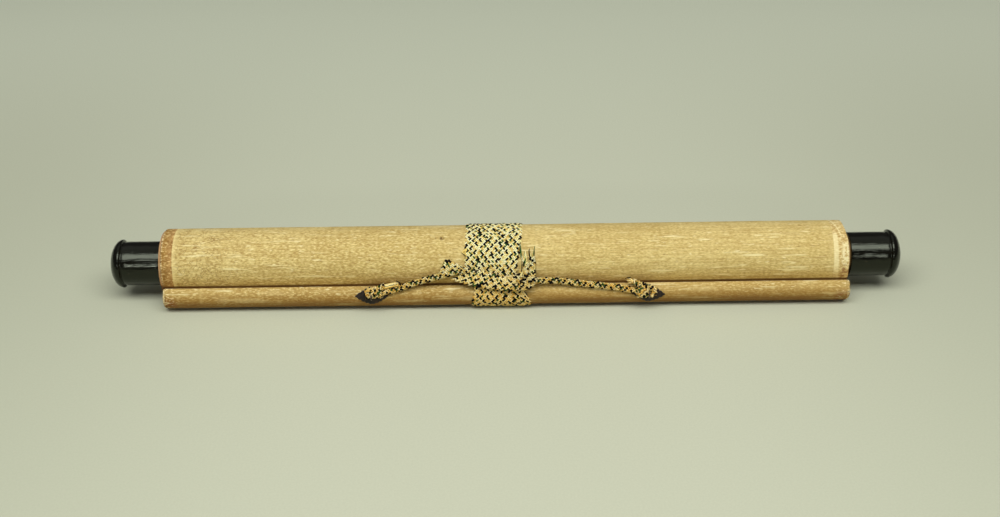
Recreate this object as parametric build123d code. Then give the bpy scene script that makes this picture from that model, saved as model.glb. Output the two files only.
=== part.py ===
"""Hanging scroll, rolled on its roller and tied with its ribbon.

The mounted sheet is one long strip. Its inner end is pasted to the roller rod, it is wound round
the rod, and its outer end is wrapped and pasted round the half-round stave, which lies along the
front of the roll. Black knobs close the rod's ends. A flat cord hangs between two eyes in the
stave, and a braided ribbon, wound round roll and stave, holds everything shut.
"""

from build123d import *
import os
from math import acos, asin, atan2, cos, degrees, pi, radians, sin, sqrt, tan

os.makedirs("parts", exist_ok=True)

# Sizes are in millimetres. The roll's axis is X, the front is -Y and up is +Z. Everything is
# modelled about the roll's axis, and set down on the plane z = 0 at the end.

# The mounted sheet
sheet_width = 430.0
sheet_thickness = 0.46
sheet_turns = 16
turn_gap = 0.11
paste_gap = 0.05
telescope = 2.0  # the inner turns stand out this far at the left end

# The roller rod
rod_radius = 11.6
shoulder_gap = 0.3
tenon_radius = 7.0
tenon_length = 18.0
tenon_chamfer = 0.8

# The roller knobs
knob_length = 33.7
knob_body_radius = 14.0
knob_edge_round = 0.6
knob_rim_rise = 1.4
knob_ledge_width = 0.8
knob_dome_length = 7.7
socket_clearance = 0.1
socket_spare = 0.5

# The half-round stave
stave_radius = 7.79
stave_flank = 0.94
stave_corner = 0.5
stave_inset = 0.6  # the folded sheet covers the stave's ends by this much

# The washers and the eyes, measured from the middle of the roll
eye_x = {"left": -84.1, "right": 89.3}
eye_lean = {"left": 53.0, "right": 49.5}  # degrees from the middle of the round side, upwards
washer_length = 18.0
washer_height = 11.0
washer_thickness = 0.6
washer_scallops = 9
washer_scallop_bulge = 0.28
washer_spear_length = 1.7
washer_spear_width = 2.4
eye_ring_radius = 1.8
eye_wire_radius = 0.5
eye_leg_length = 8.0
eye_leg_spread = 0.55
eye_clearance = 0.05

# The hanging cord: its route stands in cord_route below
cord_diameter = 1.8
cord_clearance = 0.1
cord_knot_thickness = 4.2
cord_knot_height = 7.0
cord_knot_gap = 0.2
cord_tail_ends = {"left": (-66.5, -26.4, -2.6), "right": (75.7, -26.4, -1.4)}

# The tie ribbon
ribbon_width = 8.9
ribbon_thickness = 1.2
ribbon_edge_round = 0.4
ribbon_turns = 4
ribbon_pitch = 8.7
ribbon_middle_x = -7.2
ribbon_slack = 0.05
ribbon_press = 0.3  # the scroll's weight presses the braid under it flat, this deep
bight_thickness = 2.0
knot_width = 9.6
knot_thickness = 4.4
knot_place = (12.4, 0.2)
tail_start = 1.0
tail_a_sides = (9.3, 13.7)
tail_a_top = 19.3
tail_b_sides = (14.4, 17.9)
tail_b_top = 21.8

# Outlines of the ribbon's bight and of the run that crosses over the cord, seen square on to the
# front: along X, and upwards from the middle of the span between roll and stave
bight_outline = [
    (-38.8, 13.2), (-27.7, 9.6), (-23.4, 8.2), (-23.4, 4.4), (-31.0, 4.2), (-36.4, 2.8), (-40.7, 6.0),
]
crossing_outline = [
    (-33.9, 1.1), (-27.4, 5.6), (-17.1, 7.5), (-8.4, 4.6), (2.5, 1.4), (10.4, -0.8),
    (10.4, -4.9), (-9.3, -4.4), (-19.6, -2.8),
]
turn_back_outline = [(-33.9, 1.1), (-29.6, 3.2), (-23.6, 2.4), (-23.6, -1.6), (-28.0, -0.5)]

# The cord's route from eye to eye, chosen by hand: X, Y and Z from the middle of the roll's axis
cord_route = [
    (-77.0, -28.9, -9.6),
    (-71.0, -27.2, -7.9),
    (-65.2, -25.8, -5.4),
    (-57.8, -24.8, -2.3),
    (-49.5, -24.4, 0.0),
    (-41.6, -24.9, 2.6),
    (-33.6, -24.6, 5.0),
    (-25.6, -23.4, 6.2),
    (-15.5, -24.2, 3.6),
    (-4.0, -24.9, 1.3),
    (8.5, -25.5, -0.4),
    (19.0, -25.1, -1.4),
    (30.0, -24.5, -1.5),
    (42.5, -24.6, -3.0),
    (56.5, -25.3, -4.9),
    (69.0, -26.3, -7.3),
    (76.5, -27.4, -9.0),
    (82.6, -29.3, -10.6),
]

# Places that follow from the sizes
turn_pitch = sheet_thickness + turn_gap
roll_radius = rod_radius + paste_gap + sheet_thickness + sheet_turns * turn_pitch
wrapped_radius = stave_radius + paste_gap + sheet_thickness
wrapped_flank = stave_flank + paste_gap + sheet_thickness
wrapped_corner = stave_corner + paste_gap + sheet_thickness
shoulder_x = sheet_width / 2 + telescope + shoulder_gap

# The stave rests on the same plane as the roll and is bound against the roll's front half, whose
# centre is half a pitch above the axis. Both give one quadratic for the sine of its direction.
half_pitch = turn_pitch / 2
reach = roll_radius - half_pitch + ribbon_slack + wrapped_flank
drop = roll_radius - wrapped_radius
stave_sine = (reach - sqrt(reach**2 - 4 * half_pitch * drop)) / (2 * half_pitch)
stave_angle = 180 + degrees(asin(stave_sine))
stave_distance = reach - half_pitch * stave_sine


def direction(angle):
    """The unit vector at an angle in the roll's cross-section, from +Y towards +Z."""
    return Vector(0, cos(radians(angle)), sin(radians(angle)))


stave_centre = direction(stave_angle) * stave_distance

# The tight band round roll and stave touches both along two straight spans
span_turn = degrees(acos(drop / stave_distance))
front_angle = stave_angle - span_turn
span_length = sqrt(stave_distance**2 - drop**2)
front_normal = direction(front_angle)
front_up = direction(front_angle - 90)
front_middle = front_normal * roll_radius - front_up * (span_length / 2)
front_plane = Plane(origin=front_middle, x_dir=(1, 0, 0), z_dir=front_normal)


def section(x):
    """The cross-section plane at x: its own axes are Y and Z."""
    return Plane(origin=(x, 0, 0), x_dir=(0, 1, 0), z_dir=(1, 0, 0))


def drawn(vector):
    """A point of the roll's cross-section as a point of the section plane."""
    return (vector.Y, vector.Z)


def along(face, start, end):
    """A face drawn in the section plane, made solid from x = start to x = end."""
    return extrude(section(start) * face, amount=end - start)


def half_round(grow):
    """The stave's section, grown by a margin, with its flat side against the roll."""
    radius = stave_radius + grow
    back = -(stave_flank + grow)
    side = Polyline((0, radius), (back, radius), (back, -radius), (0, -radius))
    face = make_face(CenterArc((0, 0), radius, -90, 180) + side)
    face = fillet(face.vertices().group_by(Axis.X)[0], stave_corner + grow)
    return Pos(*drawn(stave_centre)) * Rot(0, 0, stave_angle) * face


def roll_face():
    """The wound strip from its outer tangent point inwards, drawn in half turns."""
    corner_back = direction(stave_angle) * (wrapped_corner - wrapped_flank)
    corner_side = direction(stave_angle + 90) * (wrapped_radius - wrapped_corner)
    corner = stave_centre + corner_back + corner_side
    corner_angle = degrees(atan2(corner.Z, corner.Y))
    tangent = corner_angle + degrees(acos((roll_radius - sheet_thickness / 2) / corner.length))
    outer = [CenterArc((0, 0), roll_radius, tangent, 90 - tangent)]
    inner = [CenterArc((0, 0), roll_radius - sheet_thickness, tangent, 90 - tangent)]
    for half_turn in range(1, 2 * sheet_turns + 1):
        centre = (0, half_pitch * (half_turn % 2))
        start = 90 if half_turn % 2 else -90
        radius = roll_radius - half_turn * half_pitch
        outer.append(CenterArc(centre, radius, start, 180))
        inner.append(CenterArc(centre, radius - sheet_thickness, start, 180))
    ends = [Line(outer[0] @ 0, inner[0] @ 0), Line(outer[-1] @ 1, inner[-1] @ 1)]
    wound = make_face(Curve() + outer + inner + ends)
    # the straight run from the roll's underside to the stave's lower corner
    touch = direction(tangent) * (roll_radius - sheet_thickness / 2)
    across = direction(tangent) * (sheet_thickness / 2)
    run = make_face(
        Polyline(
            drawn(touch + across), drawn(corner + across), drawn(corner - across), drawn(touch - across),
            close=True,
        )
    )
    return wound + run


def make_mount_sheet():
    sleeve_room = half_round(paste_gap)
    face = (roll_face() + half_round(paste_gap + sheet_thickness)) - sleeve_room
    half_width = sheet_width / 2
    sheet = along(face, -half_width - telescope, half_width)
    # the inner turns stand out at the left, so a shallow cone trims the outer ones back
    trim = make_face(
        Polyline(
            (-half_width, roll_radius), (-half_width - telescope, rod_radius),
            (-half_width - 2 * telescope, rod_radius), (-half_width - 2 * telescope, 3 * roll_radius),
            (-half_width, 3 * roll_radius),
            close=True,
        )
    )
    sheet -= revolve(trim, Axis.X)
    for side in eye_x:
        sheet -= leg_hole(side)
    return sheet


def make_roller_rod():
    rod = along(Circle(rod_radius), -shoulder_x, shoulder_x)
    for end in (-1, 1):
        tenon = along(Circle(tenon_radius), 0, tenon_length)
        tenon = chamfer(tenon.edges().sort_by(Axis.X)[-1], tenon_chamfer)
        tenon = Pos(shoulder_x, 0, 0) * tenon
        rod += tenon if end == 1 else mirror(tenon, about=Plane.YZ)
    return rod


def make_knob(end):
    """A turned knob: straight body, a raised rim and an oval dome for its end."""
    socket_radius = tenon_radius + socket_clearance
    socket_depth = tenon_length + socket_spare
    rim_x = knob_length - knob_dome_length
    rim_radius = knob_body_radius + knob_rim_rise
    body_end = rim_x - knob_ledge_width
    outline = [
        Polyline(
            (socket_depth, 0), (socket_depth, socket_radius), (0, socket_radius),
            (0, knob_body_radius - knob_edge_round),
        ),
        RadiusArc(
            (0, knob_body_radius - knob_edge_round), (knob_edge_round, knob_body_radius),
            knob_edge_round,
        ),
        Line((knob_edge_round, knob_body_radius), (body_end, knob_body_radius)),
        Line((body_end, knob_body_radius), (rim_x, rim_radius)),
        EllipticalCenterArc((rim_x, 0), knob_dome_length, rim_radius, arc_size=90),
        Line((knob_length, 0), (socket_depth, 0)),
    ]
    knob = Pos(shoulder_x, 0, 0) * revolve(make_face(Curve() + outline), Axis.X)
    return knob if end == "right" else mirror(knob, about=Plane.YZ)


def eye_plane(side):
    """The plane on the wrapped stave at an eye: its Z points straight out of the wood."""
    outward = direction(stave_angle - eye_lean[side])
    foot = stave_centre + outward * wrapped_radius
    return Plane(origin=foot + Vector(eye_x[side], 0, 0), x_dir=(1, 0, 0), z_dir=outward)


def leg_hole(side):
    """The hole that the two legs of an eye are driven into."""
    radius = eye_leg_spread + eye_wire_radius + eye_clearance
    top = 2 * washer_thickness
    depth = eye_leg_length + eye_clearance
    return eye_plane(side) * Pos(0, 0, (top - depth) / 2) * Cylinder(radius, top + depth)


def make_stave():
    half_length = sheet_width / 2 - stave_inset
    stave = along(half_round(0), -half_length, half_length)
    for side in eye_x:
        stave -= leg_hole(side)
    return stave


def leaf_face():
    """A pointed leaf with a scalloped edge and a small spear at each tip."""
    half_length = washer_length / 2
    half_height = washer_height / 2
    radius = (half_length**2 + half_height**2) / (2 * half_height)
    reach_angle = degrees(asin(half_length / radius))
    step = 2 * reach_angle / washer_scallops
    edges = []
    for flip in (0, 180):
        for i in range(washer_scallops):
            points = []
            for part, bulge in ((0, 0), (0.5, washer_scallop_bulge), (1, 0)):
                angle = radians(90 + flip + reach_angle - (i + part) * step)
                centre_height = (half_height - radius) * (-1 if flip else 1)
                reach_out = radius + bulge
                points.append((reach_out * cos(angle), centre_height + reach_out * sin(angle)))
            edges.append(ThreePointArc(*points))
    leaf = make_face(Curve() + edges)
    tip = half_length + washer_spear_length
    spear = make_face(
        Polyline(
            (-tip, 0), (0, -washer_spear_width / 2), (tip, 0), (0, washer_spear_width / 2), close=True
        )
    )
    return leaf + spear


def make_washer(side):
    """Thin sheet metal, bent to lie on the wrapped stave."""
    inner = wrapped_radius + paste_gap
    reach_x = washer_length / 2 + 2 * washer_spear_length
    shell = along(
        Pos(*drawn(stave_centre)) * (Circle(inner + washer_thickness) - Circle(inner)),
        eye_x[side] - reach_x, eye_x[side] + reach_x,
    )
    blank = extrude(eye_plane(side) * leaf_face(), amount=wrapped_radius, both=True)
    return (shell & blank) - leg_hole(side)


ring_height = paste_gap + washer_thickness + eye_clearance + eye_wire_radius + eye_ring_radius


def make_eye(side):
    """A wire ring with two legs, driven through the washer into the stave."""
    ring = Pos(0, 0, ring_height) * Rot(0, 90, 0) * Torus(eye_ring_radius, eye_wire_radius)
    leg_top = ring_height - sqrt(eye_ring_radius**2 - eye_leg_spread**2)
    leg = Cylinder(eye_wire_radius, leg_top + eye_leg_length)
    eye = ring
    for offset in (-eye_leg_spread, eye_leg_spread):
        eye += Pos(0, offset, (leg_top - eye_leg_length) / 2) * leg
    return eye_plane(side) * eye


def eye_ring_centre(side):
    plane = eye_plane(side)
    return plane.origin + plane.z_dir * ring_height


def rounded_drum(radius, height, rounding):
    """A drum about Z with well rounded ends, the plain form of a pulled knot."""
    drum = Cylinder(radius, height)
    return fillet(drum.edges().filter_by(GeomType.CIRCLE), rounding)


def arc_radii(points):
    """For each inner corner: 0.45 of its shorter run over the tangent of half its turn."""
    radii = []
    for before, corner, after in zip(points, points[1:], points[2:]):
        arriving = Vector(*corner) - Vector(*before)
        leaving = Vector(*after) - Vector(*corner)
        half_turn = radians(arriving.get_angle(leaving) / 2)
        radii.append(0.45 * min(arriving.length, leaving.length) / tan(half_turn))
    return radii


def make_hanging_cord():
    """A tube through both eyes, with the knot that ties it off beside each eye and its tail."""
    beyond = eye_wire_radius + cord_knot_gap + cord_knot_thickness / 2
    loop_centre, wrap_centre = {}, {}
    for side, outwards in (("left", -1), ("right", 1)):
        ring = eye_ring_centre(side)
        loop_centre[side] = ring + Vector(outwards * beyond, 0, 0)
        wrap_centre[side] = ring - Vector(outwards * beyond, 0, 0)
    points = [tuple(loop_centre["left"]), tuple(wrap_centre["left"])]
    points += cord_route
    points += [tuple(wrap_centre["right"]), tuple(loop_centre["right"])]
    radii = arc_radii(points)
    print("cord arc radii", [round(radius, 1) for radius in radii])
    path = FilletPolyline(*points, radius=radii)
    tube = sweep(Plane(origin=path @ 0, z_dir=path % 0) * Circle(cord_diameter / 2), path=path)
    expected = path.length * pi * (cord_diameter / 2) ** 2
    print("cord length", round(path.length, 1), "volume share", round(tube.volume / expected, 4))
    cord = tube
    for side in eye_x:
        upwards = eye_plane(side).y_dir
        for centre in (loop_centre[side], wrap_centre[side]):
            knot = rounded_drum(cord_knot_thickness / 2, cord_knot_height, 0.8 * cord_knot_thickness / 2)
            cord += Plane(origin=centre, x_dir=(1, 0, 0), z_dir=upwards) * knot
        tail = Vector(*cord_tail_ends[side]) - wrap_centre[side]
        start = Plane(origin=wrap_centre[side], z_dir=tail)
        cord += extrude(start * Circle(cord_diameter / 2), amount=tail.length)
    return cord, tube


def bound_face(height):
    """The outline of a tight band round roll and stave, a given height above them."""
    big = roll_radius + height
    small = wrapped_radius + height
    upper, lower = front_angle, stave_angle + span_turn
    centre = stave_centre
    big_upper, big_lower = direction(upper) * big, direction(lower) * big
    small_upper, small_lower = centre + direction(upper) * small, centre + direction(lower) * small
    edges = [
        CenterArc((0, 0), big, lower, 360 - 2 * span_turn),
        Line(drawn(big_upper), drawn(small_upper)),
        CenterArc(drawn(centre), small, upper, 2 * span_turn),
        Line(drawn(small_lower), drawn(big_lower)),
    ]
    return make_face(Curve() + edges)


def layer(low, high, start, end):
    """All that lies between two heights above roll and stave, from x = start to x = end."""
    return along(bound_face(high) - bound_face(low), start, end)


def patch(outline, low, high):
    """A piece of ribbon lying on the front, between two heights, within an outline."""
    shape = make_face(Polyline(*outline, close=True))
    block = extrude(front_plane * shape, amount=roll_radius, both=True)
    start = min(corner[0] for corner in outline)
    end = max(corner[0] for corner in outline)
    return layer(low, high, start, end) & block


def upright(sides, low, high):
    """The four corners of a straight tail."""
    left, right = sides
    return [(left, low), (right, low), (right, high), (left, high)]


turn_top = ribbon_slack + ribbon_thickness
crossing_low = turn_top + cord_diameter + 2 * cord_clearance


def make_ribbon_turn(x):
    """One turn of ribbon, its outer edges rounded."""
    turn = layer(ribbon_slack, turn_top, x - ribbon_width / 2, x + ribbon_width / 2)
    outer = [edge for edge in turn.edges() if abs(edge.tangent_at(0.5).X) < 0.5]
    skin = bound_face(turn_top - ribbon_edge_round / 2)
    inside = along(skin, x - ribbon_width, x + ribbon_width)
    rim = [edge for edge in outer if not inside.is_inside(edge @ 0.5)]
    return fillet(rim, ribbon_edge_round)


def make_tie_ribbon(cord_tube):
    first = ribbon_middle_x - ribbon_pitch * (ribbon_turns - 1) / 2
    ribbon = make_ribbon_turn(first)
    for i in range(1, ribbon_turns):
        ribbon += make_ribbon_turn(first + i * ribbon_pitch)
    ribbon += patch(bight_outline, ribbon_slack, bight_thickness)
    ribbon += patch(turn_back_outline, ribbon_slack, crossing_low + ribbon_thickness)
    ribbon += patch(crossing_outline, crossing_low, crossing_low + ribbon_thickness)
    ribbon += patch(upright(tail_a_sides, tail_start, tail_a_top), ribbon_slack, turn_top)
    ribbon += patch(upright(tail_b_sides, tail_start, tail_b_top), ribbon_slack, turn_top)
    knot = rounded_drum(knot_width / 2, knot_thickness, 0.4 * knot_thickness)
    ribbon += front_plane * Pos(*knot_place, ribbon_slack + knot_thickness / 2) * knot
    ribbon -= offset(cord_tube, cord_clearance / 2)
    resting_plane = Plane.XY.offset(ribbon_press - turn_top - roll_radius)
    return split(ribbon, resting_plane, keep=Keep.TOP)


hanging_cord, cord_tube = make_hanging_cord()
pieces = {
    "mount_sheet": make_mount_sheet(),
    "roller_rod": make_roller_rod(),
    "knob_left": make_knob("left"),
    "knob_right": make_knob("right"),
    "stave": make_stave(),
    "washer_left": make_washer("left"),
    "washer_right": make_washer("right"),
    "eye_left": make_eye("left"),
    "eye_right": make_eye("right"),
    "hanging_cord": hanging_cord,
    "tie_ribbon": make_tie_ribbon(cord_tube),
}

# The origin is the middle of the underside of everything but the free cord
held = [solid for name, piece in pieces.items() if name != "hanging_cord" for solid in piece.solids()]
box = Compound(held).bounding_box()
to_rest = Pos(-(box.min.X + box.max.X) / 2, -(box.min.Y + box.max.Y) / 2, -box.min.Z)
print("moved to rest by", to_rest.position)

for name, piece in pieces.items():
    export_step(to_rest * piece, f"parts/{name}.step")
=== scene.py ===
import math

import bpy
import numpy as np
from mathutils import Matrix, Vector, noise


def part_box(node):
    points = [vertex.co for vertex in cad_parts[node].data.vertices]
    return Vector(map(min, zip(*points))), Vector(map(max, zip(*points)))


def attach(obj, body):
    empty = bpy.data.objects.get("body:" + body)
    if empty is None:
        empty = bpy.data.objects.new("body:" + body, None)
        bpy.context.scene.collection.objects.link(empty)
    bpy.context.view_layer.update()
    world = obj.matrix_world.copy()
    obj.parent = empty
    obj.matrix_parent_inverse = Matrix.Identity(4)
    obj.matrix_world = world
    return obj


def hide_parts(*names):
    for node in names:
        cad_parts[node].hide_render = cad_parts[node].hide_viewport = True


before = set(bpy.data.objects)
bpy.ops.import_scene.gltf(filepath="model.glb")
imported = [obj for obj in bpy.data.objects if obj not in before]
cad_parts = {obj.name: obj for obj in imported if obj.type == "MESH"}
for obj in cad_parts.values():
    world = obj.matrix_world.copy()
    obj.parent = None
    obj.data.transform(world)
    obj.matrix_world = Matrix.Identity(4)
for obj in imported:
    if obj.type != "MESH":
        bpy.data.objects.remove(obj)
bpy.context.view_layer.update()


# The roller rod and the stave are plain softwood. The rod is turned and glued into the knobs; the
# half-round stave is planed, and the sheet is folded and pasted over it. Both hardly show.


class Wire:
    """An output socket to reckon with: each operator adds its Math node."""

    def __init__(self, graph, socket):
        self.graph = graph
        self.socket = socket

    def of(self, name):
        """Another output of the same node."""
        return Wire(self.graph, self.socket.node.outputs[name])

    def __add__(self, other):
        return self.graph.maths("ADD", self, other)

    def __sub__(self, other):
        return self.graph.maths("SUBTRACT", self, other)

    def __rsub__(self, other):
        return self.graph.maths("SUBTRACT", other, self)

    def __mul__(self, other):
        return self.graph.maths("MULTIPLY", self, other)

    def __truediv__(self, other):
        return self.graph.maths("DIVIDE", self, other)

    def __pow__(self, other):
        return self.graph.maths("POWER", self, other)

    __radd__ = __add__
    __rmul__ = __mul__


class Graph:
    """A node tree of any kind, filled by one method."""

    def __init__(self, tree):
        self.tree = tree

    def node(self, kind, settings=None, inputs=None, output=0):
        """Adds a node: its settings are set first, then the values or links of its inputs."""
        made = self.tree.nodes.new(kind)
        for name, value in (settings or {}).items():
            if name == "stops":
                ramp = made.color_ramp
                while len(ramp.elements) < len(value):
                    ramp.elements.new(1)
                for element, (position, colour) in zip(ramp.elements, value):
                    element.position = position
                    element.color = colour
            elif name == "interpolation":
                made.color_ramp.interpolation = value
            else:
                setattr(made, name, value)
        for name, value in (inputs or {}).items():
            if isinstance(value, Wire):
                self.tree.links.new(value.socket, made.inputs[name])
            else:
                made.inputs[name].default_value = value
        return Wire(self, made.outputs[output]) if made.outputs else None

    def maths(self, operation, *values):
        """A Math node of the values in turn."""
        return self.node("ShaderNodeMath", {"operation": operation}, dict(enumerate(values)))

    def vectors(self, operation, inputs, output=0):
        """A Vector Math node."""
        return self.node("ShaderNodeVectorMath", {"operation": operation}, inputs, output)

    def object_place(self):
        """Where a point is, in the object's own frame."""
        return self.node("ShaderNodeTexCoord", output="Object")

    def part(self, vector, name):
        """The X, Y or Z of a vector."""
        return self.node("ShaderNodeSeparateXYZ", {}, {0: vector}, name)

    def mix(self, factor, first, second, blend="MIX"):
        """Two colours mixed."""
        settings = {"data_type": "RGBA", "blend_type": blend}
        return self.node("ShaderNodeMix", settings, {0: factor, 6: first, 7: second}, 2)

    def layered(self, colour, *layers):
        """A colour with others laid over it, each for its share."""
        for share, other in layers:
            colour = self.mix(share, colour, other)
        return colour

    def rise(self, value, low, high):
        """0 on low's side, 1 on high's side, smooth between."""
        settings = {"interpolation_type": "SMOOTHSTEP"}
        return self.node("ShaderNodeMapRange", settings, {"Value": value, 1: low, 2: high})

    def noise(self, place, scale, detail=2.0, stretch=(1, 1, 1)):
        """Noise with so many features a metre; stretch makes it finer along an axis."""
        place = self.node("ShaderNodeMapping", {}, {"Vector": place, "Scale": stretch})
        inputs = {"Vector": place, "Scale": scale, "Detail": detail}
        return self.node("ShaderNodeTexNoise", {}, inputs)

    def bump(self, height, depth):
        """A normal tilted by a height from 0 to 1, depth metres deep."""
        inputs = {"Height": height, "Distance": depth, "Strength": 1.0}
        return self.node("ShaderNodeBump", {}, inputs)


def srgb(red, green, blue):
    """A colour seen as 0-255 values, as the linear colour that shaders take."""
    linear = []
    for value in (red, green, blue):
        share = value / 255
        linear.append(share / 12.92 if share <= 0.04045 else ((share + 0.055) / 1.055) ** 2.4)
    return (*linear, 1.0)


def new_finish(name, kind=Graph):
    """An empty material, and its node graph."""
    material = bpy.data.materials.new(name)
    material.use_nodes = True
    material.node_tree.nodes.clear()
    return material, kind(material.node_tree)


def close_finish(graph, inputs):
    """Ends a material in one Principled surface."""
    surface = graph.node("ShaderNodeBsdfPrincipled", {}, inputs)
    graph.node("ShaderNodeOutputMaterial", {}, {"Surface": surface})


def softwood():
    material, graph = new_finish("softwood")
    place = graph.object_place()
    grain = graph.noise(place, 300, 4.0, stretch=(0.04, 1, 1))
    pores = graph.noise(place, 2500, 2.0, stretch=(0.05, 1, 1))
    colour = graph.layered(
        srgb(150, 112, 66),
        (grain, srgb(205, 166, 108)),
        (graph.rise(pores, 0.55, 0.7) * 0.5, srgb(110, 76, 42)),
    )
    close_finish(graph, {"Base Color": colour, "Roughness": 0.8, "Normal": graph.bump(grain, 0.0002)})
    return material


wood = softwood()
for bare_node in ("roller_rod", "stave"):
    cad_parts[bare_node].data.materials.clear()
    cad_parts[bare_node].data.materials.append(wood)


# The mounted sheet: silk pasted on layers of paper, honey coloured with age. It is wound sixteen
# times round the rod, runs off the roll's underside and is folded and pasted round the stave. Its
# long edges are turned in, which shows as a darker strip at the left and a worn one at the right.

stave_radius = 0.00779
sheet_thickness = 0.00046
turn_gap = 0.00011
sheet_turns = 16
telescope = 0.002
wrapped_flank = 0.00145
wrapped_corner = 0.00101
sheet_half = 0.215
seam_from_left = 0.0074
seam_from_right = 0.0106
seam_width = 0.0025
# the heights over the table where the painted shade in the groove between roll and stave is darkest on each
roll_groove = 0.0171
stave_groove = 0.0164

knob_low, knob_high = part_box("knob_left")
sheet_low, sheet_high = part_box("mount_sheet")
stave_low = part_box("stave")[0]
axis = np.array([(knob_low.y + knob_high.y) / 2, (knob_low.z + knob_high.z) / 2])
roll_radius = sheet_high.z - axis[1]
stave = np.array([stave_low.y, stave_low.z]) + stave_radius
wrapped_radius = stave[0] - sheet_low.y
half_pitch = (sheet_thickness + turn_gap) / 2

# The tight outline round roll and stave, in the cross-section: angles turn from +Y towards +Z
stave_distance = math.dist(stave, axis)
stave_turn = math.atan2(stave[1] - axis[1], stave[0] - axis[0]) % (2 * math.pi)
span_turn = math.acos((roll_radius - wrapped_radius) / stave_distance)
front_turn = stave_turn - span_turn
span = math.sqrt(stave_distance**2 - (roll_radius - wrapped_radius) ** 2)
stave_arc = 2 * span_turn * wrapped_radius
roll_arc = (2 * math.pi - 2 * span_turn) * roll_radius
outline_length = stave_arc + roll_arc + 2 * span


def towards(angle):
    """The unit vector at an angle in the cross-section."""
    return np.array([math.cos(angle), math.sin(angle)])


def wrap(s, height):
    """The point so high above the tight outline, s along it, and the way out of it.
    s starts at the middle of the front span and grows upwards."""
    s = (s + span / 2 + stave_arc) % outline_length
    if s < stave_arc:
        out = towards(stave_turn + span_turn - s / wrapped_radius)
        return stave + out * (wrapped_radius + height), out
    s -= stave_arc
    if s < span:
        out = towards(front_turn)
        up = towards(front_turn - math.pi / 2)
        return axis + out * (roll_radius + height) - up * (span - s), out
    s -= span
    if s < roll_arc:
        out = towards(front_turn - s / roll_radius)
        return axis + out * (roll_radius + height), out
    s -= roll_arc
    out = towards(stave_turn + span_turn)
    onward = towards(stave_turn + span_turn - math.pi / 2)
    return axis + out * (roll_radius + height) + onward * s, out


def placed(name, data):
    """A new object in the scene, at the origin, that shows the data."""
    made = bpy.data.objects.new(name, data)
    bpy.context.scene.collection.objects.link(made)
    return made


def plain_object(name, vertices, faces, material):
    """A smooth-shaded mesh object."""
    mesh = bpy.data.meshes.new(name)
    mesh.from_pydata([tuple(map(float, v)) for v in vertices], [], faces)
    mesh.materials.append(material)
    mesh.polygons.foreach_set("use_smooth", [True] * len(mesh.polygons))
    return placed(name, mesh)


def grid_faces(rows, columns, closed=False):
    """Quads of a grid of rows x columns vertices; closed joins the last row to the first."""
    faces = []
    for i in range(rows if closed else rows - 1):
        a, b = i * columns, (i + 1) % rows * columns
        faces += [(a + j, a + j + 1, b + j + 1, b + j) for j in range(columns - 1)]
    return faces


def flattened(made):
    """Leaves an object with a plain mesh of what its modifiers make."""
    reading = bpy.context.evaluated_depsgraph_get()
    mesh = bpy.data.meshes.new_from_object(
        made.evaluated_get(reading), preserve_all_data_layers=True, depsgraph=reading
    )
    made.modifiers.clear()
    made.data = mesh
    return made


def joined(name, parts):
    """Several objects made one, with its name."""
    with bpy.context.temp_override(active_object=parts[0], selected_editable_objects=parts):
        bpy.ops.object.join()
    parts[0].name = name
    parts[0].data.name = name
    return parts[0]


class SilkGraph(Graph):
    """The nodes of a silk, with the places and patterns that its parts share. Above and behind
    count from the roll's axis."""

    def __init__(self, tree):
        super().__init__(tree)
        self.place = self.object_place()
        self.x = self.part(self.place, "X")
        self.z = self.x.of("Z")
        self.above = self.z - axis[1]
        self.behind = self.x.of("Y") - axis[0]
        self.mottle = self.noise(self.place, 230, 4.0, stretch=(0.7, 1, 1))
        self.grain = self.noise(self.place, 1250, 3.0, stretch=(0.4, 1, 1))
        self.streaks = self.noise(self.place, 1000, 2.0, stretch=(0.03, 1, 1))
        self.specks = self.noise(self.place, 800, 1.0)
        # painted shade: low marks the lower part of the roll, which the marks below darken as if in shade
        self.low = self.rise(self.above + self.mottle * 0.004, -0.002, -0.018)


def weave(silk, tan, pale):
    """The plain silk: grainy, with streaks along the roll, faint ribs, scratches and specks, and painted
    shade low down.
    """
    rise, grain = silk.rise, silk.grain
    clouds = silk.noise(silk.place, 14, 3.0)
    ribs = silk.noise(silk.place, 330, 2.0, stretch=(1, 0.08, 0.08))
    scratches = silk.noise(silk.place, 560, 2.0, stretch=(0.07, 1, 1))
    dashes = silk.noise(silk.place, 800, 1.0, stretch=(0.22, 1, 1))
    rougher = rise(silk.x, 0.08, -0.16) * 0.35 + 0.65
    return silk.layered(
        tan,
        (rise(clouds, 0.35, 0.65), pale),
        (rise(silk.mottle, 0.4, 0.7) * 0.35, srgb(186, 154, 88)),
        (rise(grain, 0.5, 0.66) * rougher * 0.8, srgb(238, 216, 152)),
        (rise(grain, 0.5, 0.34) * rougher * 0.7, srgb(160, 126, 68)),
        (rise(silk.streaks, 0.45, 0.65) * 0.5, srgb(180, 148, 84)),
        (rise(ribs, 0.5, 0.75) * 0.25, srgb(228, 204, 140)),
        (rise(scratches, 0.63, 0.7) * 0.6, srgb(244, 228, 172)),
        (rise(dashes, 0.68, 0.74) * 0.6, srgb(246, 230, 176)),
        (rise(dashes, 0.29, 0.23) * 0.5, srgb(138, 104, 54)),
        (rise(silk.specks, 0.76, 0.8) * 0.7, srgb(104, 72, 34)),
        # painted shade: the silk darker and browner low on the roll
        (silk.low * 0.5, srgb(156, 112, 54)),
    )


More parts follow.
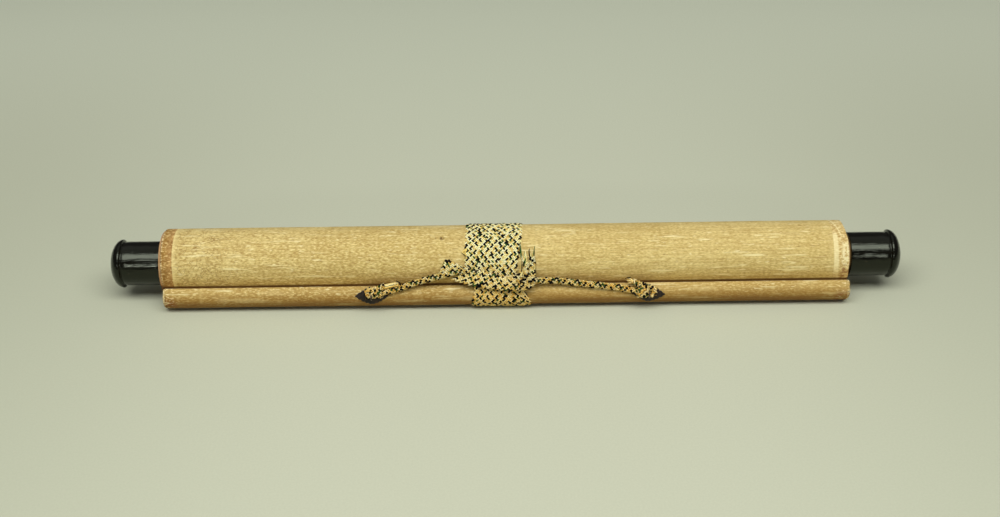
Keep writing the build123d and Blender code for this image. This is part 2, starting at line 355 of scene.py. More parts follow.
def cracks(silk, colour):
    """Fine cracks near the roll's left end."""
    wavy = silk.vectors("SCALE", {0: silk.grain, "Scale": 0.002})
    wavy = silk.vectors("ADD", {0: silk.place, 1: wavy})
    settings = {"feature": "DISTANCE_TO_EDGE"}
    cells = silk.node("ShaderNodeTexVoronoi", settings, {"Vector": wavy, "Scale": 340.0})
    cracked = silk.rise(cells, 0.07, 0.02) * silk.rise(silk.mottle, 0.4, 0.55)
    cracked = cracked * silk.rise(silk.x, -0.15, -0.19)
    return silk.mix(cracked * 0.55, colour, srgb(132, 98, 50))


def stains(silk, colour):
    """Two small dark stains on the top of the roll, left of the band."""
    for x, size in ((-0.0397, 0.0021), (-0.0435, 0.001)):
        middle = (x, axis[0] - 0.0079, axis[1] + 0.0197)
        gap = silk.vectors("DISTANCE", {0: silk.place, 1: middle}, "Value")
        stain = silk.rise(gap, size, size * 0.4) * silk.rise(silk.grain, 0.44, 0.52)
        colour = silk.mix(stain * 0.9, colour, srgb(84, 54, 22))
    return colour


def left_strip(silk, colour):
    """The turned-in edge at the roll's left end, which is darker, with a pale seam beside it."""
    rise, grain = silk.rise, silk.grain
    inside = silk.x + sheet_half
    strip = rise(inside, seam_from_left, seam_from_left - 0.0006)
    seam = rise(inside, seam_from_left + seam_width, seam_from_left) * (1 - strip)
    frayed = rise(inside, 0.0012, 0.0004) * rise(grain, 0.42, 0.6)
    line = rise(inside, -0.0003, -0.0001) * rise(inside, 0.0003, 0.0001)
    brown = silk.layered(
        srgb(164, 124, 58),
        (rise(inside, 0.002, 0.006), srgb(190, 146, 84)),
        (rise(silk.mottle, 0.35, 0.65) * 0.6, srgb(150, 108, 54)),
        # painted shade: the strip darker low on the roll
        (silk.low * 0.8, srgb(134, 92, 40)),
        (rise(grain, 0.52, 0.66) * 0.75, srgb(232, 200, 136)),
        (rise(grain, 0.48, 0.34) * 0.6, srgb(112, 76, 32)),
        (frayed * 0.7, srgb(236, 210, 158)),
        (rise(inside, 0.0, -0.0006) * 0.7, srgb(214, 160, 112)),
        (line * rise(grain, 0.62, 0.5) * 0.75, srgb(84, 56, 30)),
    )
    return silk.layered(colour, (strip, brown), (seam * 0.6, srgb(238, 214, 148)))


def right_strip(silk, colour):
    """The worn edge at the right: pale patches high up, brown spots low down, a seam inside."""
    rise, grain, above = silk.rise, silk.grain, silk.above
    inside = sheet_half - silk.x
    strip = rise(inside + silk.mottle * 0.001, seam_from_right + 0.0006, seam_from_right - 0.0002)
    seam = rise(inside, seam_from_right, seam_from_right - 0.0004)
    seam = seam * rise(inside, seam_from_right - seam_width - 0.0012, seam_from_right - seam_width)
    seam = seam * (rise(above, -0.006, 0.004) * rise(above, 0.021, 0.019))
    spots = silk.noise(silk.place, 430, 2.0)
    patches = rise(inside, 0.0062, 0.0045) * rise(inside, 0.0008, 0.002)
    patches = patches * rise(above, 0.002, 0.006) * rise(above, 0.019, 0.014)
    low_spots = rise(above, 0.007, 0.002) * rise(inside, 0.0075, 0.004)
    rim = rise(grain, 0.36, 0.5) * rise(inside, 0.0014, 0.0004)
    worn = silk.layered(
        srgb(200, 166, 100),
        (rise(silk.mottle, 0.42, 0.6), srgb(216, 188, 124)),
        (rise(grain, 0.5, 0.62) * 0.8, srgb(240, 220, 166)),
        (rise(grain, 0.5, 0.38) * 0.6, srgb(164, 124, 70)),
        (patches * rise(spots, 0.42, 0.52) * 0.8, srgb(246, 232, 184)),
        (rise(spots, 0.5, 0.58) * low_spots * 0.8, srgb(150, 96, 58)),
        (rim, srgb(180, 118, 54)),
    )
    return silk.layered(colour, (strip * 0.85, worn), (seam * 0.75, srgb(242, 224, 168)))


def top_fold(silk, colour):
    """A pale fold that runs aslant over the top near the right end."""
    aslant = silk.x + silk.behind * 0.25
    fold = silk.rise(aslant, 0.2068, 0.2071) * silk.rise(aslant, 0.2079, 0.2076)
    fold = fold * silk.rise(silk.above, 0.0185, 0.0195) * silk.rise(silk.behind, 0.009, 0.007)
    return silk.mix(fold * 0.6, colour, srgb(242, 224, 168))


def roll_shade(silk, colour):
    """The roll has painted shade: darker and browner below, and darkest in front, in the groove over the
    stave.
    """
    # painted shade: the roll darker below
    under = silk.rise(silk.above, 0.008, -0.006)
    colour = silk.mix(under, colour, srgb(240, 224, 196), "MULTIPLY")
    # painted shade in the groove between roll and stave, in front
    groove_shade = silk.rise(silk.z, roll_groove + 0.0007, roll_groove) * silk.rise(silk.behind, -0.01, -0.014)
    return silk.mix(groove_shade * 0.8, colour, srgb(92, 54, 22))


def stave_wear_and_shade(silk, colour):
    """The silk on the stave: painted shade low down and in the groove under the roll, soiled streaks low
    down, stained, worn and nicked at its ends.
    """
    rise, z, mottle = silk.rise, silk.z, silk.mottle
    aside = silk.maths("ABSOLUTE", silk.x)
    soil = silk.noise(silk.place, 240, 3.0, stretch=(0.12, 1, 1))
    near_ends = rise(aside, sheet_half - 0.011, sheet_half - 0.004)
    stained = near_ends * rise(mottle, 0.42, 0.54) * rise(z, 0.0145, 0.006)
    worn = rise(aside, sheet_half - 0.0014, sheet_half - 0.0006) * rise(mottle, 0.4, 0.55)
    nicks = rise(aside, sheet_half - 0.003, sheet_half - 0.0005) * rise(silk.specks, 0.6, 0.66)
    # painted shade: the stave's silk darker and browner low down
    colour = silk.mix(rise(z, 0.0115, 0.003) * 0.4, colour, srgb(124, 88, 42))
    colour = silk.mix(rise(z, 0.0145, 0.010), colour, srgb(231, 219, 194), "MULTIPLY")
    return silk.layered(
        colour,
        (rise(soil, 0.44, 0.6) * rise(z, 0.0105, 0.0065) * 0.6, srgb(138, 94, 44)),
        (rise(soil, 0.44, 0.34) * 0.3, srgb(228, 202, 140)),
        # painted shade along the groove under the roll
        (rise(z, stave_groove - 0.0002, stave_groove + 0.0003) * 0.6, srgb(110, 72, 30)),
        (stained * 0.8, srgb(132, 70, 30)),
        (near_ends * rise(silk.grain, 0.55, 0.68) * 0.6, srgb(246, 226, 176)),
        (worn * 0.7, srgb(242, 222, 170)),
        (nicks * 0.9, srgb(52, 34, 18)),
    )


def aged_silk(name, tan, pale, marks):
    """Aged mounting silk: its weave, and then each kind of mark in turn."""
    material, silk = new_finish(name, SilkGraph)
    colour = weave(silk, tan, pale)
    for mark in marks:
        colour = mark(silk, colour)
    colour = silk.mix(1.0, colour, srgb(250, 254, 251), "MULTIPLY")
    normal = silk.bump(silk.grain * 0.4 + silk.streaks * 0.35 + silk.mottle * 0.6, 0.00022)
    inputs = {"Base Color": colour, "Roughness": 0.85, "Specular IOR Level": 0.3, "Normal": normal}
    close_finish(silk, inputs)
    return material


roll_marks = [cracks, stains, left_strip, right_strip, top_fold, roll_shade]
roll_silk = aged_silk("mounting silk, roll", srgb(202, 174, 105), srgb(214, 188, 120), roll_marks)
sleeve_silk = aged_silk("mounting silk, stave", srgb(183, 148, 81), srgb(196, 163, 95), [stave_wear_and_shade])

# X places over the sheet's width, closer at its ends; the right edge is worn short
end_steps = np.array([0, 0.0004, 0.001, 0.002, 0.0035])
sheet_xs = np.concatenate([
    -sheet_half + end_steps,
    np.linspace(-sheet_half + 0.0055, sheet_half - 0.0055, 150),
    (sheet_half - 0.0009 - end_steps)[::-1],
])


def worn_short(x, y, z):
    """How far the right edge is worn back at a place: most over the top of the roll."""
    angle = math.degrees(math.atan2(z - axis[1], y - axis[0]))
    share = float(np.interp(angle, [-30, 60, 100, 140], [0, 1, 0.65, 0]))
    return 0.0018 * share * float(np.interp(x, [sheet_half - 0.012, sheet_half - 0.005], [0, 1]))


def wander(x, s, seed):
    """How far handling has pushed the sheet out of true at a place."""
    slow = noise.noise(Vector((x * 9, s * 25, seed)))
    ripple = noise.noise(Vector((x * 22, s * 160, seed + 3)))
    return 0.00022 * slow + 0.00007 * ripple


def thickened(surface):
    """Gives a surface the sheet's thickness, inwards."""
    wall = surface.modifiers.new("wall", "SOLIDIFY")
    wall.thickness = sheet_thickness
    wall.offset = -1
    return flattened(surface)


def arc(centre, radius, start, turn, steps):
    """Points on an arc of the cross-section."""
    return [centre + radius * towards(start + turn * i / steps) for i in range(steps + 1)]


upper_centre = axis + np.array([0, half_pitch])


def outermost_line():
    """The outermost turn in the cross-section: from the stave to the roll's underside, up the
    back, over the top and down the front."""
    corner = stave + towards(stave_turn) * (wrapped_corner - wrapped_flank)
    corner = corner + towards(stave_turn + math.pi / 2) * (wrapped_radius - wrapped_corner)
    offset = corner - axis
    leave_turn = math.atan2(offset[1], offset[0]) + math.acos(
        (roll_radius - sheet_thickness / 2) / np.linalg.norm(offset)
    )
    leave_turn = leave_turn % (2 * math.pi) - 2 * math.pi
    over_top = arc(axis, roll_radius, leave_turn, math.pi / 2 - leave_turn, 68)
    front_down = arc(upper_centre, roll_radius - half_pitch, math.pi / 2, math.pi, 62)
    run_down = corner + towards(leave_turn) * sheet_thickness / 2
    return [run_down, (run_down + over_top[0]) / 2] + over_top + front_down[1:]


def outer_turn():
    """The outermost turn, pushed out of true by handling and ragged along its edges."""
    line = outermost_line()
    vertices = []
    s = 0.0
    for i, point in enumerate(line):
        before, after = line[max(i - 1, 0)], line[min(i + 1, len(line) - 1)]
        run = (after - before) / np.linalg.norm(after - before)
        out = np.array([run[1], -run[0]])
        s += np.linalg.norm(point - line[i - 1]) if i else 0
        for x in sheet_xs:
            place = point + out * wander(x, s, 1.0)
            ragged = 0.00035 * noise.noise(Vector((x, s * 210, 2.0))) * (abs(x) > sheet_half - 0.0014)
            vertices.append((x + ragged - worn_short(x, *place), place[0], place[1]))
    return thickened(plain_object("outer", vertices, grid_faces(len(line), len(sheet_xs)), roll_silk))


def sleeve_ring():
    """The sleeve's closed section, its corners rounded: a half round with a short flank."""
    out, side = towards(stave_turn), towards(stave_turn + math.pi / 2)
    radius, flank, corner = wrapped_radius, wrapped_flank, wrapped_corner
    ring = [stave + radius * (out * math.cos(a) + side * math.sin(a))
            for a in np.linspace(-math.pi / 2, math.pi / 2, 33)]
    for sign in (1, -1):
        centre = stave - out * (flank - corner) + side * sign * (radius - corner)
        turns = np.linspace(0, math.pi / 2, 6)
        bend = [centre + corner * (side * sign * math.cos(a) - out * math.sin(a)) for a in turns]
        ring += bend if sign == 1 else bend[::-1]
    return ring


def sleeve():
    """The sheet round the stave, its ends folded over the wood and worn round."""
    # how far in from an end, and how far the section has shrunk there
    ends = [(0.0001, 0.8), (0.0, 0.5), (0.0001, 0.3), (0.0004, 0.15), (0.001, 0.05), (0.002, 0.0)]
    left, right = -sheet_half - 0.0006, sheet_half + 0.0011
    columns = [(left + inset, drop) for inset, drop in ends]
    columns += [(x, 0.0) for x in np.linspace(-sheet_half + 0.0025, sheet_half - 0.0025, 160)]
    columns += [(right - inset, drop) for inset, drop in ends[::-1]]
    ring = sleeve_ring()
    middle = stave + towards(stave_turn) * (wrapped_radius * 0.4)
    vertices = []
    for i, point in enumerate(ring):
        spoke = point - middle
        reach = np.linalg.norm(spoke)
        for x, drop in columns:
            fold = noise.noise(Vector((x * 4, i * 0.9, 7.0))) * 0.0006 * min(1, drop * 6)
            push = wander(x, 0.0007 * i, 5.0) * (1 - drop)
            fold += 0.0014 * max(0, -spoke[1] / reach) ** 2 * (x > 0.2) * min(1, drop * 4 + 0.1)
            place = middle + spoke * (1 - drop) + spoke / reach * push
            vertices.append((x - math.copysign(abs(fold), x), place[0], place[1]))
    starts = [i * len(columns) for i in range(len(ring))]
    faces = grid_faces(len(ring), len(columns), closed=True)
    faces += [starts, [start + len(columns) - 1 for start in starts][::-1]]
    return plain_object("sleeve", vertices, [face[::-1] for face in faces], sleeve_silk)


def inner_turns():
    """The turns under the outermost one, which show only at the roll's ends."""
    line = []
    for half_turn in range(2, 2 * sheet_turns):
        centre = upper_centre if half_turn % 2 else axis
        start = math.pi / 2 if half_turn % 2 else -math.pi / 2
        line += arc(centre, roll_radius - half_turn * half_pitch, start, math.pi, 36)[1:]
    right_end = sheet_half - 0.0013
    vertices = []
    for point in line:
        depth = roll_radius - sheet_thickness - math.dist(point, axis)
        stand_out = telescope * (1 - math.exp(-max(depth, 0) / 0.0007))
        for x in (-sheet_half - stand_out, right_end - worn_short(right_end, *point)):
            vertices.append((x, point[0], point[1]))
    return thickened(plain_object("turns", vertices, grid_faces(len(line), 2), roll_silk))


mounted_sheet = joined("mounted_sheet", [outer_turn(), sleeve(), inner_turns()])
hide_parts("mount_sheet")
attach(mounted_sheet, "root")


# The roller knobs: turned wood, lacquered black and worn to a soft gloss, with a straight body, a
# raised rim and an oval dome for their end. They are glued on the rod's tenons.

knob_edge_round = 0.0006
knob_rim_rise = 0.0014
knob_ledge_width = 0.0008
knob_dome_length = 0.0077


def lacquer():
    material, graph = new_finish("black lacquer")
    place = graph.object_place()
    brushing = graph.noise(place, 1300, 3.0, stretch=(0.05, 1, 1))
    dents = graph.noise(place, 420, 3.0, stretch=(0.25, 1, 1))
    chips = graph.noise(place, 900, 2.0, stretch=(0.4, 1, 1))
    colour = graph.layered(
        srgb(12, 11, 7),
        (graph.rise(brushing, 0.5, 0.8) * 0.5, srgb(30, 26, 19)),
        (graph.rise(chips, 0.72, 0.78) * 0.5, srgb(96, 84, 66)),
    )
    close_finish(graph, {
        "Base Color": colour,
        "Roughness": 0.09 + 0.14 * graph.rise(dents, 0.45, 0.75),
        "Specular IOR Level": 0.42,
        "Specular Tint": srgb(240, 250, 224),
        "Normal": graph.bump(brushing * 0.5 + dents * 0.5, 0.0002),
    })
    return material


def tube_faces(rows, ring, closed=False):
    """Quads between rings of vertices, and a face over each end unless the tube is closed."""
    faces = []
    for i in range(rows if closed else rows - 1):
        a, b = i * ring, (i + 1) % rows * ring
        faces += [(a + j, a + (j + 1) % ring, b + (j + 1) % ring, b + j) for j in range(ring)]
    if not closed:
        faces += [list(range(ring))[::-1], [(rows - 1) * ring + j for j in range(ring)]]
    return faces


def turned(name, profile, facing, material):
    """A shape turned about the roll's axis: its profile holds (distance out along X, radius)."""
    segments = 96
    vertices = []
    for along, radius in profile:
        for k in range(segments):
            place = axis + towards(2 * math.pi * k / segments) * radius
            vertices.append((facing * along, place[0], place[1]))
    faces = tube_faces(len(profile), segments)
    return plain_object(name, vertices, faces if facing > 0 else [face[::-1] for face in faces], material)


def knob_profile():
    """The knob's outline, from the end against the roll outwards."""
    shoulder, tip = -knob_high.x, -knob_low.x
    rim = (knob_high.z - knob_low.z) / 2
    body = rim - knob_rim_rise
    rim_place = tip - knob_dome_length
    ledge = rim_place - knob_ledge_width
    profile = [(shoulder, body - 0.004), (shoulder, body - knob_edge_round)]
    for turn in np.linspace(0.15, 1, 5) * math.pi / 2:
        rise = knob_edge_round * math.sin(turn)
        profile.append((shoulder + knob_edge_round * (1 - math.cos(turn)), body - knob_edge_round + rise))
    profile += [(x, body) for x in np.linspace(shoulder + 0.002, ledge - 0.0003, 8)]
    profile += [(ledge - 0.0001, body - 0.0001), (ledge + 0.0001, body + 0.0001)]
    profile += [(rim_place - 0.00035, rim - 0.00035), (rim_place - 0.0001, rim - 0.00008)]
    for turn in np.linspace(0.02, 0.97, 18) * math.pi / 2:
        profile.append((rim_place + knob_dome_length * math.sin(turn), rim * math.cos(turn)))
    return profile


lacquer_finish = lacquer()
for side, facing in (("left", -1), ("right", 1)):
    knob = turned(f"roller_knob_{side}", knob_profile(), facing, lacquer_finish)
    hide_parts(f"knob_{side}")
    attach(knob, "root")


# The washers and the eyes: leaf-shaped washers cut from thin sheet bronze, and a wire eye driven
# through each into the stave. Both are dark with age.


def bronze(name, dark, light, red):
    material, graph = new_finish(name)
    place = graph.object_place()
    patina = graph.noise(place, 420, 4.0)
    pits = graph.noise(place, 2600, 2.0)
    colour = graph.layered(
        dark, (graph.rise(patina, 0.35, 0.65), light), (graph.rise(patina, 0.6, 0.75) * 0.8, red)
    )
    normal = graph.bump(pits * 0.5 + patina * 0.5, 0.00012)
    roughness = 0.42 + 0.25 * pits
    close_finish(graph, {"Base Color": colour, "Metallic": 0.4, "Roughness": roughness, "Normal": normal})
    return material


def laid(points):
    """Places given as X, how far up the front and the height over it, in millimetres."""
    found = []
    for x, s, height in points:
        place, out = wrap(s / 1000, height / 1000)
        found.append((x / 1000, place[0], place[1]))
    return np.array(found)


# in millimetres; a place holds X, how far up the front and how much it leans
washer_reach = 10.5
washer_half_height = 5.9
washer_scallop = 0.62
washer_places = {"left": (-84.1, -9.2, 0.0), "right": (89.1, -9.9, -0.06)}


def leaf_washer(name, middle_x, middle_s, slope, material):
    """A leaf of thin sheet bent round the stave: shallow scallops, drawn to a point at both ends."""
    rings = []
    for share in np.linspace(-1, 1, 73):
        scallop = washer_scallop * (abs(math.sin(share * math.pi * 4.5)) - 0.5) * (1 - abs(share) ** 5)
        half = max(washer_half_height * (1 - abs(share) ** 1.33) + scallop, 0.08)
        x = share * washer_reach
        top, bottom = [], []
        for part in np.linspace(-1, 1, 11):
            place = (x + middle_x, middle_s + slope * x + half * part)
            top.append((*place, 0.66 - 0.12 * part**6))
            bottom.append((*place, 0.0))
        rings.append(laid(top + bottom[::-1]))
    rings = np.array(rings)
    return plain_object(name, rings.reshape(-1, 3), tube_faces(*rings.shape[:2]), material)


def smoothed(name, node, material):
    """A CAD node's own shape, with its curved faces shaded smooth."""
    made = placed(name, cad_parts[node].data.copy())
    made.data.materials.clear()
    made.data.materials.append(material)
    weld = made.modifiers.new("weld", "WELD")
    weld.merge_threshold = 1e-6
    flattened(made)
    made.data.polygons.foreach_set("use_smooth", [True] * len(made.data.polygons))
    made.data.set_sharp_from_angle(angle=math.radians(32))
    return made


washer_finish = bronze("dark bronze", srgb(26, 20, 14), srgb(54, 42, 32), srgb(80, 40, 34))
eye_finish = bronze("aged wire", srgb(70, 60, 46), srgb(112, 94, 66), srgb(84, 56, 40))
for side in ("left", "right"):
    washer = leaf_washer(f"stave_washer_{side}", *washer_places[side], washer_finish)
    eye = smoothed(f"stave_eye_{side}", f"eye_{side}", eye_finish)
    for kind, piece, slot_name in (("washer", washer, "dark_bronze"), ("eye", eye, "eye_metal")):
        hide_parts(f"{kind}_{side}")
        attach(piece, "root")


# The hanging cord: a narrow flat silk braid, tied to each eye with a wrapped loop and a short
# tail. It lies slack along the front of the roll, over the ribbon's bight and under its last run.

strand = 0.00065  # a step of one strand across or along a braid
cord_half_width = 0.0013
cord_half_thickness = 0.0007
knot_reach = 2.8
# the middles of the eyes' rings and the cord's way between them, in millimetres from the middle of
# the roll's axis
eye_ring = {"left": (-84.1, -28.86, -9.54), "right": (89.3, -29.05, -10.21)}
cord_route = [
    (-76.6, -26.9, -7.7), (-71.0, -26.3, -6.4), (-65.2, -25.6, -5.0), (-57.8, -24.8, -2.3),
    (-49.5, -24.4, 0.0), (-41.6, -24.9, 2.6), (-33.6, -24.6, 5.0), (-25.6, -23.4, 6.2),
    (-15.5, -24.2, 3.6), (-4.0, -24.9, 1.3), (8.5, -25.5, -0.4), (19.0, -25.1, -1.4),
    (30.0, -24.5, -1.5), (42.5, -24.8, -3.3), (56.5, -25.3, -5.0), (69.0, -25.8, -6.3),
    (76.5, -26.4, -7.7), (82.0, -27.6, -8.9),
]


def from_axis(point):
    """A point in millimetres from the middle of the roll's axis, in the frame's metres."""
    return np.array([point[0] / 1000, axis[0] + point[1] / 1000, axis[1] + point[2] / 1000])


def spline_points(points, steps=6):
    """Points along the smooth spline that a route controls."""
    curve = bpy.data.curves.new("route", "CURVE")
    curve.dimensions = "3D"
    curve.resolution_u = steps
    line = curve.splines.new("NURBS")
    line.points.add(len(points) - 1)
    for point, place in zip(line.points, points):
        point.co = (*place, 1.0)
    line.order_u = 3
    line.use_endpoint_u = True
    holder = placed("route", curve)
    reading = bpy.context.evaluated_depsgraph_get()
    mesh = bpy.data.meshes.new_from_object(holder.evaluated_get(reading))
    found = np.array([vertex.co for vertex in mesh.vertices])
    bpy.data.objects.remove(holder)
    return found


def along_line(points):
    """How far along a line of points each of them lies."""
    return np.concatenate([[0], np.cumsum(np.linalg.norm(np.diff(points, axis=0), axis=1))])


def way_out(point):
    """The way straight out of the bundle at a point near its front."""
    offset = point[1:] - axis
    climb = offset @ towards(front_turn - math.pi / 2)
    if climb > 0:
        out = offset / np.linalg.norm(offset)
    elif climb > -span:
        out = towards(front_turn)
    else:
        out = (point[1:] - stave) / np.linalg.norm(point[1:] - stave)
    return np.array([0, *out])


# the strands of a braid in turn, and their colours
strand_order = [
    "black", "cream", "pale", "tan", "black", "pale", "cream",
    "green", "ochre", "black", "pale", "tan", "cream", "pale",
]
strands = len(strand_order)
strand_colours = {
    "black": srgb(4, 3, 1), "green": srgb(52, 98, 46), "cream": srgb(255, 248, 174),
    "pale": srgb(255, 255, 206), "ochre": srgb(222, 194, 102), "tan": srgb(242, 216, 124),
}


def braid_finish():
    """Silk floats: each has its strand's colour, a little lighter or darker, with painted shade at their ends
    and low down.
    """
    material, graph = new_finish("silk braid")
    tone = graph.node("ShaderNodeAttribute", {"attribute_name": "tone"}, {}, "Fac")
    shade = graph.node("ShaderNodeAttribute", {"attribute_name": "shade"}, {}, "Fac")
    thread = graph.node("ShaderNodeAttribute", {"attribute_name": "thread"}, {}, "Vector")
    stops = [(k / strands, strand_colours[kind]) for k, kind in enumerate(strand_order)]
    colour = graph.node("ShaderNodeValToRGB", {"interpolation": "CONSTANT", "stops": stops}, {"Fac": tone})
    along = graph.part(thread, "X")
    around = along.of("Y")
    # painted shade: each float darker at its ends, where it dives under the others
    ends = graph.rise(along * along, 0.10, 0.25)
    colour = graph.mix(ends * 0.42, colour, srgb(120, 90, 40), "MULTIPLY")
    colour = graph.mix((1 - shade) * 0.25, colour, srgb(222, 192, 134), "MULTIPLY")
    # painted shade: the braid darker and browner low down
    height = graph.part(graph.object_place(), "Z")
    colour = graph.mix(graph.rise(height, 0.036, 0.008), colour, srgb(255, 230, 194), "MULTIPLY")
    filaments = graph.maths("SINE", around * 34 + along * 5)
    normal = graph.bump(filaments * 0.5 + 0.5, 0.00003)
    inputs = {"Base Color": colour, "Roughness": 0.65, "Specular IOR Level": 0.12, "Normal": normal}
    close_finish(graph, inputs)
    return material


def core_finish():
    """The inside of the braid, which shows between its floats: its dark colour is painted shade."""
    material, graph = new_finish("braid core")
    grain = graph.noise(graph.object_place(), 1500, 2.0)
    # painted shade: the core's dark browns stand for the shade between the floats
    colour = graph.mix(grain, srgb(92, 66, 26), srgb(138, 106, 52))
    close_finish(graph, {"Base Color": colour, "Roughness": 0.9, "Normal": graph.bump(grain, 0.0002)})
    return material


silk_strands = braid_finish()
shaded_braid_core = core_finish()


def new_rule(name, sizes):
    """A geometry tree with a geometry input and named sizes, and its input node."""
    tree = bpy.data.node_groups.new(name, "GeometryNodeTree")
    tree.interface.new_socket("Geometry", in_out="INPUT", socket_type="NodeSocketGeometry")
    for label, kind in sizes.items():
        tree.interface.new_socket(label, in_out="INPUT", socket_type=f"NodeSocket{kind}")
    tree.interface.new_socket("Geometry", in_out="OUTPUT", socket_type="NodeSocketGeometry")
    graph = Graph(tree)
    return graph, graph.node("NodeGroupInput")


def shaped(made, rule, sizes):
    """Leaves an object with the plain mesh that a geometry tree makes of it."""
    modifier = made.modifiers.new("rule", "NODES")
    modifier.node_group = rule.tree
    for item in rule.tree.interface.items_tree:
        if item.in_out == "INPUT" and item.name in sizes:
            modifier[item.identifier] = sizes[item.name]
    return flattened(made)


def float_shape(graph):
    """One float of a braid: a plump strand that rises, runs level and dives again."""
    line = graph.node("GeometryNodeCurvePrimitiveLine", {}, {"Start": (-0.5, 0, 0), "End": (0.5, 0, 0)})
    line = graph.node("GeometryNodeResampleCurve", {}, {"Curve": line, "Count": 7})
    factor = graph.node("GeometryNodeSplineParameter", output="Factor")
    off_middle = (factor * 2 - 1) ** 2
    move = graph.node("ShaderNodeCombineXYZ", {}, {"Z": off_middle * off_middle * -0.75})
    line = graph.node("GeometryNodeSetPosition", {}, {"Geometry": line, "Offset": move})
    ring = graph.node("GeometryNodeCurvePrimitiveCircle", {}, {"Resolution": 6, "Radius": 0.5})
    inputs = {"Curve": line, "Profile Curve": ring, "Scale": 1 - off_middle * 0.3, "Fill Caps": True}
    grain = graph.node("GeometryNodeCurveToMesh", {}, inputs)
    grain = graph.node("GeometryNodeSetShadeSmooth", {}, {"Geometry": grain})
    place = graph.node("GeometryNodeInputPosition")
    settings = {"data_type": "FLOAT_VECTOR", "domain": "POINT"}
    inputs = {"Geometry": grain, "Name": "thread", "Value": place}
    return graph.node("GeometryNodeStoreNamedAttribute", settings, inputs)


def float_tone(graph, given, index, u, v, leaning):
    """The float's strand, as a tone from 0 to 1. About one float in eight is out of turn."""
    phase = graph.maths("FLOORED_MODULO", v + u * (1 - leaning * 2), given.of("Across") * 2)
    number = graph.maths("FLOOR", phase * 0.5)
    odd_one = graph.node("FunctionNodeRandomValue", {}, {"ID": index, "Seed": given.of("Seed")}, 1)
    twisted = graph.maths("GREATER_THAN", odd_one, 0.88)
    tone = (number + given.of("Seed")) / strands + 0.5 / strands + twisted * odd_one * 7.3
    return graph.maths("FRACT", tone)


def is_black(graph, tone):
    """1 for a black strand, 0 for the others."""
    places = [k for k, kind in enumerate(strand_order) if kind == "black"]
    return sum(graph.maths("COMPARE", tone, (k + 0.5) / strands, 0.5 / strands) for k in places)


def braid_rule():
    """Lays the floats of a two-over-two flat braid on a body. The body's map "weave" counts
    strand steps across and along it, and its attributes "across" and "along" are one step."""
    sizes = {
        "Across": "Float", "Along": "Float", "Height": "Float", "Fullness": "Float", "Seed": "Int",
        "Finish": "Material",
    }
    graph, given = new_rule("flat braid", sizes)
    columns = graph.maths("CEIL", given.of("Across") * 0.5) + 1
    rows = graph.maths("CEIL", given.of("Along") * 0.5) + 1
    index = graph.node("GeometryNodeInputIndex")
    column = graph.maths("FLOORED_MODULO", index, columns)
    row = graph.maths("FLOOR", (index + 0.5) / columns)
    leaning = graph.maths("FLOORED_MODULO", row, 2.0)
    u = column * 2 - 0.5 + leaning
    v = row * 2 + 0.5
    place = graph.node("ShaderNodeCombineXYZ", {}, {"X": u, "Y": v})
    vector = {"data_type": "FLOAT_VECTOR"}

    def named(label):
        return graph.node("GeometryNodeInputNamedAttribute", vector, {"Name": label})

    weave_map = named("weave")

    def sampled(value):
        inputs = {"Mesh": given, "Value": value, 2: weave_map, "Sample UV": place}
        return graph.node("GeometryNodeSampleUVSurface", vector, inputs)

    # a float runs one step along, leaning to either side in turn, and faces out of the body
    spot = sampled(graph.node("GeometryNodeInputPosition"))
    across, along = sampled(named("across")), sampled(named("along"))
    leant = graph.vectors("SCALE", {0: across, "Scale": leaning * 2 - 1})
    run = graph.vectors("ADD", {0: along, 1: leant})
    out = graph.vectors("CROSS_PRODUCT", {0: across, 1: along})
    cell = graph.vectors("LENGTH", {0: out}, "Value")
    length = graph.vectors("LENGTH", {0: run}, "Value")
    facing = {"primary_axis": "X", "secondary_axis": "Z"}
    turn = graph.node("FunctionNodeAxesToRotation", facing, {"Primary Axis": run, "Secondary Axis": out})
    points = graph.node("GeometryNodePoints", {}, {"Count": columns * rows})
    points = graph.node("GeometryNodeSetPosition", {}, {"Geometry": points, "Position": spot})

    # the black strands are fuller and stand higher
    tone = float_tone(graph, given, index, u, v, leaning)
    shade = graph.node("FunctionNodeRandomValue", {}, {"ID": index, "Seed": given.of("Seed") + 7}, 1)
    dark = is_black(graph, tone)
    width = cell * 2 / length * given.of("Fullness") * (1 + dark * 0.65)
    lift = given.of("Height") * (1 + dark * 0.9)
    size = graph.node("ShaderNodeCombineXYZ", {}, {"X": length * (2.1 - dark * 0.3), "Y": width, "Z": lift})
    settings = {"data_type": "FLOAT", "domain": "POINT"}
    for name, value in (("tone", tone), ("shade", shade)):
        inputs = {"Geometry": points, "Name": name, "Value": value}
        points = graph.node("GeometryNodeStoreNamedAttribute", settings, inputs)
    inputs = {
        "Points": points, "Selection": spot.of("Is Valid"), "Instance": float_shape(graph),
        "Rotation": turn, "Scale": size,
    }
    floats = graph.node("GeometryNodeInstanceOnPoints", {}, inputs)
    floats = graph.node("GeometryNodeRealizeInstances", {}, {"Geometry": floats})
    floats = graph.node("GeometryNodeSetMaterial", {}, {"Geometry": floats, "Material": given.of("Finish")})
    both = graph.node("GeometryNodeJoinGeometry", {}, {0: given})
    graph.tree.links.new(floats.socket, both.socket.node.inputs[0])
    graph.node("NodeGroupOutput", {}, {0: both})
    return graph


flat_braid = braid_rule()
braid_fullness = 0.92
ribbon_float_height = 0.00058
cord_float_height = 0.00055


